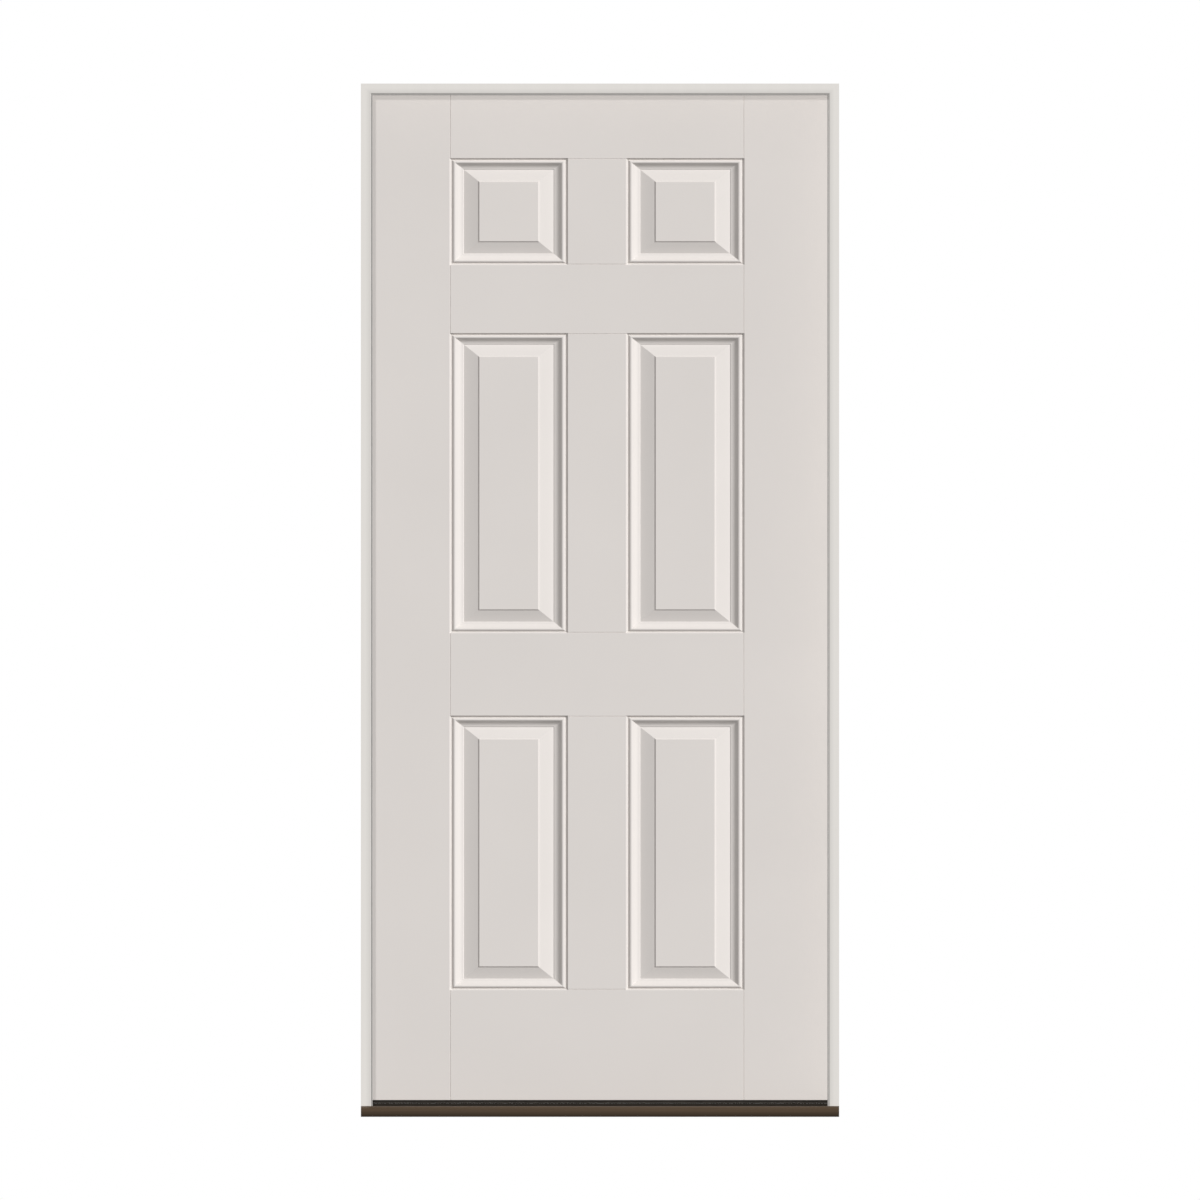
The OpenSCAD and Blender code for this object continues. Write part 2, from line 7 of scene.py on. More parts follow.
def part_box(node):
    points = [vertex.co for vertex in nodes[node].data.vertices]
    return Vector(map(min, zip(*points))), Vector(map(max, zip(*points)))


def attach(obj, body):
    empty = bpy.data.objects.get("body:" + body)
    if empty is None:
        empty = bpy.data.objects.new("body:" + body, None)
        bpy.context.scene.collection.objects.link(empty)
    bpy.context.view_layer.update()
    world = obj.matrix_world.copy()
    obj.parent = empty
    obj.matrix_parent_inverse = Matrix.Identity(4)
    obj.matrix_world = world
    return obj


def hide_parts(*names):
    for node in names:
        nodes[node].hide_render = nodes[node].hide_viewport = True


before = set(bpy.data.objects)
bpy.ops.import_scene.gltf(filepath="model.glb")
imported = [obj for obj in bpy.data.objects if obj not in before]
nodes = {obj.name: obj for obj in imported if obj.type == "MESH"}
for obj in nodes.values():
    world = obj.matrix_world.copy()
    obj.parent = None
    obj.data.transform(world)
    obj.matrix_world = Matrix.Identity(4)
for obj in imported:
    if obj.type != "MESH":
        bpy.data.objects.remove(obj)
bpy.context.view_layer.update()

# ---- Slab paint ----
# Factory coat on the moulded skins: a pale warm grey, sprayed and baked to a low satin.
# It shows a faint orange peel close up and drifts very slightly in tone across the sheet.


def new_material(name, colour, roughness, metallic=0.0):
    """A Principled material, and its node tree, shader and object coordinates for detail."""
    made = bpy.data.materials.new(name)
    made.use_nodes = True
    tree = made.node_tree
    shader = tree.nodes["Principled BSDF"]
    shader.inputs["Base Color"].default_value = (*colour, 1)
    shader.inputs["Roughness"].default_value = roughness
    shader.inputs["Metallic"].default_value = metallic
    place = tree.nodes.new("ShaderNodeTexCoord")
    return made, tree, shader, place.outputs["Object"]


def noise(tree, place, scale, stretch=(1, 1, 1), detail=3, roughness=0.5):
    """Noise on the object's own coordinates, drawn out along an axis where stretch is small."""
    spread = tree.nodes.new("ShaderNodeMapping")
    spread.inputs["Scale"].default_value = stretch
    tree.links.new(place, spread.inputs["Vector"])
    pattern = tree.nodes.new("ShaderNodeTexNoise")
    pattern.inputs["Scale"].default_value = scale
    pattern.inputs["Detail"].default_value = detail
    pattern.inputs["Roughness"].default_value = roughness
    tree.links.new(spread.outputs["Vector"], pattern.inputs["Vector"])
    return pattern.outputs["Fac"]


def ramp(tree, factor, stops):
    """A colour ramp from (position, colour) stops."""
    made = tree.nodes.new("ShaderNodeValToRGB")
    band = made.color_ramp
    while len(band.elements) < len(stops):
        band.elements.new(0.5)
    for element, (position, colour) in zip(band.elements, stops):
        element.position = position
        element.color = (*colour, 1)
    tree.links.new(factor, made.inputs["Fac"])
    return made.outputs["Color"]


def bump(tree, shader, height, strength, distance):
    """Surface relief from a height, stacked on any bump that the shader already has."""
    made = tree.nodes.new("ShaderNodeBump")
    made.inputs["Strength"].default_value = strength
    made.inputs["Distance"].default_value = distance
    tree.links.new(height, made.inputs["Height"])
    for link in list(shader.inputs["Normal"].links):
        tree.links.new(link.from_socket, made.inputs["Normal"])
    tree.links.new(made.outputs["Normal"], shader.inputs["Normal"])


def shade(colour, factor):
    return tuple(channel * factor for channel in colour)


def drifting(tree, shader, colour, pattern, dark, light, ends=(0.3, 0.7)):
    """Base colour that drifts between a darker and a lighter shade of the colour."""
    stops = [(ends[0], shade(colour, dark)), (ends[1], shade(colour, light))]
    tree.links.new(ramp(tree, pattern, stops), shader.inputs["Base Color"])


slab_grey = (0.735, 0.694, 0.664)
slab_paint, tree, shader, place = new_material("slab_paint", slab_grey, 0.42)
drifting(tree, shader, slab_grey, noise(tree, place, 3.0, detail=4), 0.982, 1.012)
bump(tree, shader, noise(tree, place, 420.0, detail=2), 0.10, 0.0004)

# ---- Moulded skins ----
# Two sheets of fibreglass, about 2 mm thick, pressed in a heated mould to six raised panels.
# Both are glued to the stiles and rails, and the foam is poured between them.
hinge_stile_w, lock_stile_w, mullion_w = 0.1615, 0.1735, 0.1155
top_rail_h, frieze_rail_h, lock_rail_h, bottom_rail_h = 0.1335, 0.1355, 0.164, 0.219
top_panel_h, bottom_panel_h = 0.213, 0.547
skin_t = 0.002
skin_arris = 0.0009
line_w, line_d, line_inset = 0.0016, 0.0011, 0.0016
level_share = 0.8

# The moulding in section, from the edge of the opening inwards: a quirk, a bead, a cove with
# its lip, the bevel of the panel and the small step up to its field
quirk_w, quirk_d = 0.0042, 0.0044
flank_angle, cove_angle, cove_end_angle = math.radians(45), math.radians(40), math.radians(6.5)
crest_r, crest_drop = 0.0044, 0.0003
slope_w, cove_w, lip_w, lip_drop = 0.0048, 0.0093, 0.0017, 0.0011
bevel_w, step_w, step_h, field_drop = 0.028, 0.0027, 0.0024, 0.0004

flank_rise = quirk_d - crest_drop - crest_r * (1 - math.cos(flank_angle))
crest_u = quirk_w + flank_rise / math.tan(flank_angle) + crest_r * math.sin(flank_angle)
cove_u = crest_u + crest_r * math.sin(cove_angle) + slope_w
cove_d = crest_drop + crest_r * (1 - math.cos(cove_angle)) + slope_w * math.tan(cove_angle)
cove_r = cove_w / (math.sin(cove_angle) - math.sin(cove_end_angle))
valley_u = cove_u + cove_w + lip_w
valley_d = cove_d + cove_r * (math.cos(cove_end_angle) - math.cos(cove_angle)) + lip_drop


def arc(centre_u, centre_d, radius, start, end, steps):
    """Points of a moulding's section, at angles measured from straight out of the face."""
    turns = [start + (end - start) * i / steps for i in range(steps + 1)]
    return [(centre_u + radius * math.sin(t), centre_d - radius * math.cos(t)) for t in turns]


section = [(0, 0), (quirk_w, quirk_d)]
section += arc(crest_u, crest_drop + crest_r, crest_r, -flank_angle, cove_angle, 14)
section += arc(
    cove_u + cove_r * math.sin(cove_angle),
    cove_d - cove_r * math.cos(cove_angle),
    cove_r,
    math.pi + cove_angle,
    math.pi + cove_end_angle,
    10,
)
section += [
    (valley_u, valley_d),
    (valley_u + bevel_w, field_drop + step_h),
    (valley_u + bevel_w + step_w, field_drop),
]
# Points of the section that the mould leaves slightly round, and by how much
last_point = len(section) - 1
soft_points = {0: 0.0003, 1: 0.0002}
soft_points |= {last_point - 2: 0.0003, last_point - 1: 0.0003, last_point: 0.0004}


def extent(face):
    """Left, right, foot and head of a face's box."""
    xs, ys = [v.co.x for v in face.verts], [v.co.y for v in face.verts]
    return min(xs), max(xs), min(ys), max(ys)


def middle(face):
    """Middle of a face's box, which points along its straight edges don't move."""
    left, right, foot, head = extent(face)
    return (left + right) / 2, (foot + head) / 2


def press_panel(sheet, panel):
    """Draws one face of the sheet in along the moulding's section, ring by ring."""
    left, right, foot, head = extent(panel)
    width, height = right - left, head - foot
    centre = Vector((*middle(panel), 0))
    rings = {0: list(panel.edges)}
    for i in range(1, len(section)):
        (u0, d0), (u1, d1) = section[i - 1], section[i]
        panel = bmesh.ops.extrude_discrete_faces(sheet, faces=[panel])["faces"][0]
        shrink = (
            (width - 2 * u1) / (width - 2 * u0),
            (height - 2 * u1 * level_share) / (height - 2 * u0 * level_share),
            1,
        )
        bmesh.ops.scale(sheet, vec=shrink, space=Matrix.Translation(-centre), verts=panel.verts)
        bmesh.ops.translate(sheet, vec=(0, 0, d0 - d1), verts=panel.verts)
        rings[i] = list(panel.edges)
    return rings


def cut(sheet, faces, co, no):
    """Cuts those faces along a plane."""
    geom = list({e for f in faces for e in f.edges}) + list(faces)
    bmesh.ops.bisect_plane(sheet, geom=geom, plane_co=co, plane_no=no, dist=1e-7)


def moulded_skin(node, notches=()):
    """A pressed sheet drawn face up in X and Y, with Z out of the door, then stood in its place."""
    low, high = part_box(node)
    left, right, foot, head = low.x, high.x, low.z, high.z
    panel_w = (right - left - hinge_stile_w - lock_stile_w - mullion_w) / 2
    columns = [left + hinge_stile_w, right - lock_stile_w - panel_w]
    lock_rail_foot = foot + bottom_rail_h + bottom_panel_h
    top_panel_foot = head - top_rail_h - top_panel_h
    rows = [
        (foot + bottom_rail_h, lock_rail_foot),
        (lock_rail_foot + lock_rail_h, top_panel_foot - frieze_rail_h),
        (top_panel_foot, head - top_rail_h),
    ]

    sheet = bmesh.new()
    bmesh.ops.create_grid(sheet, x_segments=1, y_segments=1, size=0.5)
    bmesh.ops.scale(sheet, vec=(right - left, head - foot, 1), verts=sheet.verts)
    bmesh.ops.translate(
        sheet, vec=((left + right) / 2, (foot + head) / 2, 0), verts=sheet.verts
    )
    for x in (columns[0], columns[0] + panel_w, columns[1], columns[1] + panel_w):
        cut(sheet, sheet.faces, (x, 0, 0), (1, 0, 0))
    for row in rows:
        for y in row:
            cut(sheet, sheet.faces, (0, y, 0), (0, 1, 0))

    def in_panel(face):
        x, y = middle(face)
        in_column = any(c < x < c + panel_w for c in columns)
        return in_column and any(r[0] < y < r[1] for r in rows)

    # The joint lines, scribed across the rails beside the stiles and across the mullions
    line_verts = []
    for column, side in ((columns[0], 1), (columns[1] + panel_w, -1)):
        x = column + side * line_inset
        for line_x in (x - line_w / 2, x, x + line_w / 2):
            rails = [
                f
                for f in sheet.faces
                if not in_panel(f) and any(c < middle(f)[0] < c + panel_w for c in columns)
            ]
            cut(sheet, rails, (line_x, 0, 0), (1, 0, 0))
        line_verts += [v for v in sheet.verts if abs(v.co.x - x) < 1e-6]
    for row in rows:
        for edge, side in ((row[0], 1), (row[1], -1)):
            y = edge + side * line_inset
            for line_y in (y - line_w / 2, y, y + line_w / 2):
                mullions = [
                    f
                    for f in sheet.faces
                    if columns[0] + panel_w < middle(f)[0] < columns[1]
                    and row[0] < middle(f)[1] < row[1]
                ]
                cut(sheet, mullions, (0, line_y, 0), (0, 1, 0))
            line_verts += [v for v in sheet.verts if abs(v.co.y - y) < 1e-6]

    # Notches in the edge, where hinge leaves pass
    for x1, z0, z1 in notches:
        stile = [f for f in sheet.faces if middle(f)[0] < columns[0]]
        cut(sheet, stile, (x1, 0, 0), (1, 0, 0))
        for z in (z0, z1):
            cut(sheet, [f for f in sheet.faces if middle(f)[0] < x1], (0, z, 0), (0, 1, 0))
    gone = [
        f
        for f in sheet.faces
        if any(middle(f)[0] < x1 and z0 < middle(f)[1] < z1 for x1, z0, z1 in notches)
    ]
    bmesh.ops.delete(sheet, geom=gone, context="FACES")

    rounded = {radius: [] for radius in soft_points.values()}
    for panel in [f for f in sheet.faces if in_panel(f)]:
        rings = press_panel(sheet, panel)
        for i, radius in soft_points.items():
            rounded[radius] += rings[i]
    bmesh.ops.translate(sheet, vec=(0, 0, -line_d), verts=list(set(line_verts)))

    # The back of the sheet is a copy of its face, set back by its thickness
    rim = [e for e in sheet.edges if e.is_boundary]
    whole = list(sheet.verts) + list(sheet.edges) + list(sheet.faces)
    back = bmesh.ops.duplicate(sheet, geom=whole)["geom"]
    back_verts = [g for g in back if isinstance(g, bmesh.types.BMVert)]
    back_faces = [g for g in back if isinstance(g, bmesh.types.BMFace)]
    bmesh.ops.translate(sheet, vec=(0, 0, -skin_t), verts=back_verts)
    bmesh.ops.reverse_faces(sheet, faces=back_faces)
    back_set = set(back_verts)
    back_rim = [e for e in sheet.edges if e.is_boundary and e.verts[0] in back_set]
    bmesh.ops.bridge_loops(sheet, edges=rim + back_rim)

    for radius, edges in rounded.items():
        edges = [e for e in set(edges) if e.is_valid]
        bmesh.ops.bevel(
            sheet, geom=edges, offset=radius, segments=2, profile=0.5, affect="EDGES", material=-1
        )
    rim = [e for e in rim if e.is_valid]
    bmesh.ops.bevel(
        sheet, geom=rim, offset=skin_arris, segments=3, profile=0.5, affect="EDGES", material=-1
    )
    return sheet


def finished(name, mesh, material, body, *stands_for):
    """Makes an object of a bmesh: soft on curves, crisp at its arrises, on its CAD body."""
    crisp = math.radians(18)
    bmesh.ops.remove_doubles(mesh, verts=mesh.verts, dist=5e-6)
    bmesh.ops.dissolve_degenerate(mesh, dist=1e-6, edges=mesh.edges)
    for face in mesh.faces:
        face.smooth = True
    for edge in mesh.edges:
        edge.smooth = len(edge.link_faces) == 2 and edge.calc_face_angle() < crisp
    data = bpy.data.meshes.new(name)
    mesh.to_mesh(data)
    mesh.free()
    data.materials.append(material)
    made = bpy.data.objects.new(name, data)
    bpy.context.scene.collection.objects.link(made)
    even = made.modifiers.new("even_normals", "WEIGHTED_NORMAL")
    even.keep_sharp = True
    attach(made, body)
    if stands_for:
        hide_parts(*stands_for)
    return made


# Drawn face up, a sheet is stood up facing the street or the room
facing_street = Matrix(((1, 0, 0, 0), (0, 0, -1, 0), (0, 1, 0, 0), (0, 0, 0, 1)))
facing_room = Matrix(((1, 0, 0, 0), (0, 0, 1, 0), (0, 1, 0, 0), (0, 0, 0, 1)))

street_skin = moulded_skin("outside_skin")
street_place = Matrix.Translation((0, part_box("outside_skin")[0].y, 0)) @ facing_street
bmesh.ops.transform(street_skin, matrix=street_place, verts=street_skin.verts)
bmesh.ops.recalc_face_normals(street_skin, faces=street_skin.faces)
street_side = finished("street_side_skin", street_skin, slab_paint, "door", "outside_skin")

leaf_t, leaf_fit = 0.0025, 0.00005
leaf_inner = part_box("inside_skin")[0].x + leaf_t + leaf_fit
leaf_notches = []
for height in ("bottom", "middle", "top"):
    leaf_low, leaf_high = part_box(height + "_hinge_door_leaf")
    leaf_notches.append((leaf_inner, leaf_low.z - leaf_fit, leaf_high.z + leaf_fit))
room_skin = moulded_skin("inside_skin", leaf_notches)
room_place = Matrix.Translation((0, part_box("inside_skin")[1].y, 0)) @ facing_room
bmesh.ops.transform(room_skin, matrix=room_place, verts=room_skin.verts)
bmesh.ops.recalc_face_normals(room_skin, faces=room_skin.faces)
room_side = finished("room_side_skin", room_skin, slab_paint, "door", "inside_skin")

# ---- Jambs and head ----
# Clear pine, planed to one section with its stop in the solid, then primed and painted.
# The head is housed in the tops of the jambs, and the jambs are coped over the sill.
frame_grey = (0.775, 0.748, 0.712)
frame_paint, tree, shader, place = new_material("frame_paint", frame_grey, 0.45)
grain = noise(tree, place, 60.0, stretch=(1, 1, 0.04), detail=5)
tone = ramp(tree, grain, [(0.3, shade(frame_grey, 0.985)), (0.7, shade(frame_grey, 1.01))])
bump(tree, shader, grain, 0.12, 0.0005)

# Painted shade: the tone darkens over a narrow band towards the opening, by about a sixth at the
# edge
stop_x, stop_z = 0.45625, 2.038
edge_shade_w = 0.011


def arithmetic(tree, operation, *values):
    """One Math node, whose inputs are sockets or plain numbers."""
    node = tree.nodes.new("ShaderNodeMath")
    node.operation = operation
    for socket, value in zip(node.inputs, values):
        if isinstance(value, (int, float)):
            socket.default_value = value
        else:
            tree.links.new(value, socket)
    return node.outputs["Value"]


def multiplied(tree, first, second):
    """The product of two colours."""
    product = tree.nodes.new("ShaderNodeMix")
    product.data_type = "RGBA"
    product.blend_type = "MULTIPLY"
    product.inputs["Factor"].default_value = 1.0
    tree.links.new(first, product.inputs[6])
    tree.links.new(second, product.inputs[7])
    return product.outputs[2]


def split(tree, place):
    """The X, Y and Z of a place."""
    apart = tree.nodes.new("ShaderNodeSeparateXYZ")
    tree.links.new(place, apart.inputs["Vector"])
    return [apart.outputs[axis] for axis in "XYZ"]


place_x, _, place_z = split(tree, place)
beside = arithmetic(tree, "SUBTRACT", arithmetic(tree, "ABSOLUTE", place_x), stop_x)
above = arithmetic(tree, "SUBTRACT", place_z, stop_z)
share = arithmetic(tree, "DIVIDE", arithmetic(tree, "MAXIMUM", beside, above), edge_shade_w)
# Painted shade along the opening's edge, multiplied into the grain's tone
painted_edge_shade = ramp(tree, share, [(0.0, (0.84,) * 3), (0.45, (0.94,) * 3), (1.0, (1.015,) * 3)])
tree.links.new(multiplied(tree, tone, painted_edge_shade), shader.inputs["Base Color"])


def dress(material, *names, arris=0.0):
    """Gives CAD nodes their finish, and rounds the arrises that a tool would leave round."""
    for name in names:
        node = nodes[name]
        node.data.materials.clear()
        node.data.materials.append(material)
        if arris:
            node.modifiers.new("joined_faces", "WELD").merge_threshold = 1e-6
            eased = node.modifiers.new("eased_arrises", "BEVEL")
            eased.width = arris
            eased.segments = 2
            eased.limit_method = "ANGLE"
            eased.angle_limit = math.radians(50)
            eased.harden_normals = True


dress(frame_paint, "hinge_jamb", "strike_jamb", "head_jamb", arris=0.0006)

# ---- Weatherstrip ----
# Soft foam in a thin grey film, with a stiff barbed leg that is pushed into the kerf of the stop.
# It is shown closed: the slab has pressed the bulb flat, and it bulges into the opening.
seal_grey = (0.435, 0.42, 0.405)
seal_film, tree, shader, place = new_material("seal_film", seal_grey, 0.62)
wrinkle = noise(tree, place, 240.0, stretch=(1, 1, 0.35), detail=4)
drifting(tree, shader, seal_grey, wrinkle, 0.94, 1.05)
bump(tree, shader, wrinkle, 0.3, 0.0004)

bulb_w, bulb_d, leg_l = 0.0114, 0.0047, 0.0099
leg_middle, leg_half, barb_half = 0.003, 0.0004, 0.00105
# The film gives a little between the places where the slab bears hardest
give, give_from, long_wave, short_wave = 0.0001, 0.6, 13.7, 31
# Half of the barbed leg, from its mouth to its tip, as (half width, depth)
leg_side = [(leg_half, 0.0), (leg_half, 0.0026), (barb_half, 0.0034), (leg_half, 0.0044)]
leg_side += [(leg_half, 0.0054), (barb_half, 0.0062), (leg_half, 0.0072), (leg_half, 0.0082)]
# The closed bulb, round the side that bulges into the opening and back along the slab
bulb_side = [(0.94, 0.0), (0.98, 0.05), (0.995, 0.15), (1.0, 0.5), (0.99, 0.8), (0.96, 0.94)]
bulb_side += [(0.9, 1.0), (0.22, 1.0), (0.11, 0.86), (0.02, 0.42), (0.01, 0.0)]


def weatherstrip(length, steps=60):
    """A strip drawn along +Z: X runs across the stop to the opening, and Y from stop to slab."""
    outline = [(leg_middle + w, -d) for w, d in reversed(leg_side)]
    outline += [(u * bulb_w, v * bulb_d) for u, v in bulb_side]
    outline += [(leg_middle - w, -d) for w, d in leg_side]
    outline.append((leg_middle, -leg_l))
    strip = bmesh.new()
    end = strip.faces.new([strip.verts.new((x, y, 0)) for x, y in outline])
    for i in range(steps):
        end = bmesh.ops.extrude_discrete_faces(strip, faces=[end])["faces"][0]
        bmesh.ops.translate(strip, vec=(0, 0, length / steps), verts=end.verts)
    # The strip's foot is still open, so it is closed
    bmesh.ops.contextual_create(strip, geom=[e for e in strip.edges if e.is_boundary])
    for vert in strip.verts:
        if vert.co.x > give_from * bulb_w:
            swell = math.sin(vert.co.z * short_wave) + math.sin(vert.co.z * long_wave + 1)
            vert.co.x -= give * (1 + swell / 2)
    return strip


def strip_object(name, strip, matrix, node):
    bmesh.ops.transform(strip, matrix=matrix, verts=strip.verts)
    bmesh.ops.recalc_face_normals(strip, faces=strip.faces)
    made = finished(name, strip, seal_film, "frame", node)
    return made


hinge_low, hinge_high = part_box("hinge_side_weatherstrip")
stop_y = hinge_high.y - bulb_d
side_length = hinge_high.z - hinge_low.z
upright = Matrix.Translation((hinge_low.x, stop_y, hinge_low.z))
strip_object("hinge_side_seal", weatherstrip(side_length), upright, "hinge_side_weatherstrip")
other_hand = Matrix.Scale(-1, 4, (1, 0, 0))
strip_object(
    "strike_side_seal",
    weatherstrip(side_length),
    other_hand @ upright,
    "strike_side_weatherstrip",
)
head_low, head_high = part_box("head_weatherstrip")
# Laid along the head: the strip's X turns to point down and its Z to point right
along_head = Matrix(
    ((0, 0, 1, head_low.x), (0, 1, 0, stop_y), (-1, 0, 0, head_high.z), (0, 0, 0, 1))
)
head_strip = weatherstrip(head_high.x - head_low.x, 30)
strip_object("head_seal", head_strip, along_head, "head_weatherstrip")

# ---- Corner pads ----
# Two tapered pads of dense pile-faced foam, stuck in the rabbets at the foot of the strips.
# They stand just above the ends of the cap, between the jambs and the slab's edges.
pad_grey = (0.27, 0.26, 0.25)
pad_pile, tree, shader, place = new_material("pad_pile", pad_grey, 0.95)
pile = noise(tree, place, 1400.0, detail=2)
drifting(tree, shader, pad_grey, pile, 0.75, 1.2, ends=(0.35, 0.65))
shader.inputs["Sheen Weight"].default_value = 0.25
bump(tree, shader, pile, 0.5, 0.0006)
pad_arris = 0.00015
for name, node, hand in (
    ("hinge_side_pad", "hinge_side_corner_pad", 1),
    ("strike_side_pad", "strike_side_corner_pad", -1),
):
    low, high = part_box(node)
    size = high - low
    pad = bmesh.new()
    bmesh.ops.create_cube(pad, size=1)
    bmesh.ops.scale(pad, vec=size, verts=pad.verts)
    bmesh.ops.translate(pad, vec=(low + high) / 2, verts=pad.verts)
    # It tapers to a third of its thickness at the top
    thick_side = high.x if hand > 0 else low.x
    tops = [v for v in pad.verts if v.co.z > high.z - 1e-6 and abs(v.co.x - thick_side) < 1e-6]
    bmesh.ops.translate(pad, vec=(-hand * size.x * 2 / 3, 0, 0), verts=tops)
    bmesh.ops.bevel(
        pad,
        geom=list(pad.edges),
        offset=pad_arris,
        segments=2,
        profile=0.5,
        affect="EDGES",
        material=-1,
    )
    made = finished(name, pad, pad_pile, "frame", node)

# ---- Sill deck ----
# Aluminium, extruded in one piece with its nose, its fine tread ribs and the channel for the cap,
# then anodised dark bronze. It is pressed over the composite base.
bronze = (0.067, 0.0435, 0.0255)
bronze_deck, tree, shader, place = new_material("bronze_anodised", bronze, 0.7)
shader.inputs["Specular IOR Level"].default_value = 0.18
drawn = noise(tree, place, 300.0, stretch=(0.01, 1, 1), detail=4)
streaks = ramp(tree, drawn, [(0.3, (0.86,) * 3), (0.7, (1.12,) * 3)])
bump(tree, shader, drawn, 0.15, 0.0002)
# Painted shade and light: the coat is darker towards the foot of the nose, and a little lighter at
# its top
deck_low, deck_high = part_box("sill_deck")
painted_shade_height = arithmetic(tree, "DIVIDE", split(tree, place)[2], deck_high.z)
painted_shade_stops = [(0.05, 0.4), (0.32, 0.74), (0.6, 1.0), (0.9, 1.12)]
tone = ramp(tree, painted_shade_height, [(up, shade(bronze, factor)) for up, factor in painted_shade_stops])
tree.links.new(multiplied(tree, tone, streaks), shader.inputs["Base Color"])

deck_t, nose_r, nose_fall, nose_end = 0.0016, 0.014, 0.0015, math.radians(5)
channel_w, channel_d = 0.0388, 0.0085
jamb_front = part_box("hinge_jamb")[0].y
channel_back = deck_high.y - deck_t
channel_front = channel_back - channel_w
rib_pitch, groove_w, groove_slope, groove_d = 0.0056, 0.0014, 0.0003, 0.00035
plain_front, plain_back = 0.002, 0.004
nose_y, nose_z = deck_low.y + nose_r, deck_high.z - nose_r - nose_fall

deck = bmesh.new()
path = [deck.verts.new((deck_low.x, deck_low.y, z)) for z in (deck_low.z, nose_z)]
deck.edges.new(path)
turned = bmesh.ops.spin(
    deck,
    geom=[path[1]],
    cent=(deck_low.x, nose_y, nose_z),
    axis=(1, 0, 0),
    angle=-(math.pi / 2 - nose_end),
    steps=10,
    use_merge=False,
    use_duplicate=False,
)
last = next(g for g in turned["geom_last"] if isinstance(g, bmesh.types.BMVert))
for y, z in (
    (jamb_front, deck_high.z),
    (channel_front, deck_high.z),
    (channel_front, deck_high.z - channel_d),
    (channel_back, deck_high.z - channel_d),
    (channel_back, deck_high.z),
    (deck_high.y, deck_high.z),
    (deck_high.y, deck_low.z),
):
    following = deck.verts.new((deck_low.x, y, z))
    deck.edges.new((last, following))
    last = following
drawn_out = bmesh.ops.extrude_edge_only(deck, edges=list(deck.edges))["geom"]
far_verts = [g for g in drawn_out if isinstance(g, bmesh.types.BMVert)]
bmesh.ops.translate(deck, vec=(deck_high.x - deck_low.x, 0, 0), verts=far_verts)
rib_y = jamb_front + plain_front
while rib_y + groove_w < channel_front - plain_back:
    for offset in (0, groove_slope, groove_w - groove_slope, groove_w):
        cut(deck, deck.faces, (0, rib_y + offset, 0), (0, 1, 0))
    sunk = [
        v
        for v in deck.verts
        if abs(v.co.z - deck_high.z) < 1e-6
        and rib_y + groove_slope / 2 < v.co.y < rib_y + groove_w - groove_slope / 2
    ]
    bmesh.ops.translate(deck, vec=(0, 0, -groove_d), verts=sunk)
    rib_y += rib_pitch
bmesh.ops.recalc_face_normals(deck, faces=deck.faces)
if max(deck.faces, key=lambda f: f.calc_center_median().z).normal.z < 0:
    bmesh.ops.reverse_faces(deck, faces=deck.faces)
bmesh.ops.solidify(deck, geom=list(deck.faces), thickness=deck_t)
bmesh.ops.recalc_face_normals(deck, faces=deck.faces)
tread = finished("sill_tread", deck, bronze_deck, "frame", "sill_deck")

# ---- Sill base and rails ----
# Filled composite, moulded under heat, so it takes no harm from standing water.
# It lies under the deck, and closes the top and the bottom of the slab.
composite_grey = (0.27, 0.245, 0.21)
composite, tree, shader, place = new_material("moulded_composite", composite_grey, 0.75)
speckle = noise(tree, place, 700.0)
drifting(tree, shader, composite_grey, speckle, 0.8, 1.15, ends=(0.4, 0.6))
bump(tree, shader, speckle, 0.25, 0.0004)
dress(composite, "sill_substrate", "top_rail", "bottom_rail")

# ---- Threshold cap ----
# A dark moulded strip that sits in the channel of the deck, below the sweep.
# Four screws through it into the sill base set its height.
dark_cap = (0.024, 0.020, 0.016)
cap_finish, tree, shader, place = new_material("dark_cap", dark_cap, 0.85)
shader.inputs["Specular IOR Level"].default_value = 0.08
moulded = noise(tree, place, 420.0, stretch=(0.12, 1, 1), detail=4)
drifting(tree, shader, dark_cap, moulded, 0.8, 1.3)
bump(tree, shader, moulded, 0.2, 0.0003)
dress(cap_finish, "threshold_cap", arris=0.0003)

# ---- Door sweep ----
# Black vinyl, extruded as a base with three wiping fins, and held by barbs in the bottom rail.
# The fins lean a little outwards and thin down to their tips.
black = (0.030, 0.026, 0.022)
sweep_vinyl, tree, shader, place = new_material("sweep_vinyl", black, 0.8)
shader.inputs["Specular IOR Level"].default_value = 0.15
dull = noise(tree, place, 500.0, stretch=(0.2, 1, 1))
drifting(tree, shader, black, dull, 0.8, 1.4)
bump(tree, shader, dull, 0.15, 0.0002)

sweep_low, sweep_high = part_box("door_sweep")
base_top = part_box("bottom_rail")[0].z
sweep_t, fin_count, fin_lean, tip_clear = 0.0014, 3, 0.0012, 0.00004
fin_pitch = (sweep_high.y - sweep_low.y - fin_lean - sweep_t) / (fin_count - 1)
base_under = base_top - sweep_t

sweep = bmesh.new()
bmesh.ops.create_grid(sweep, x_segments=1, y_segments=1, size=0.5)
base_size = (sweep_high.x - sweep_low.x, sweep_high.y - sweep_low.y, 1)
base_middle = (0, (sweep_low.y + sweep_high.y) / 2, base_under)
bmesh.ops.scale(sweep, vec=base_size, verts=sweep.verts)
bmesh.ops.translate(sweep, vec=base_middle, verts=sweep.verts)
fin_edges = []
for i in range(fin_count):
    fin_y = sweep_low.y + fin_lean + i * fin_pitch
    for y in (fin_y, fin_y + sweep_t):
        if sweep_low.y < y < sweep_high.y - 1e-6:
            cut(sweep, sweep.faces, (0, y, 0), (0, 1, 0))
    fin_edges.append((fin_y, fin_y + sweep_t))
fins = [
    f
    for f in sweep.faces
    if any(low < f.calc_center_median().y < high for low, high in fin_edges)
]
# The tips stop a hair above the cap
cap_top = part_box("threshold_cap")[1].z
fin_drop = base_under - cap_top - tip_clear
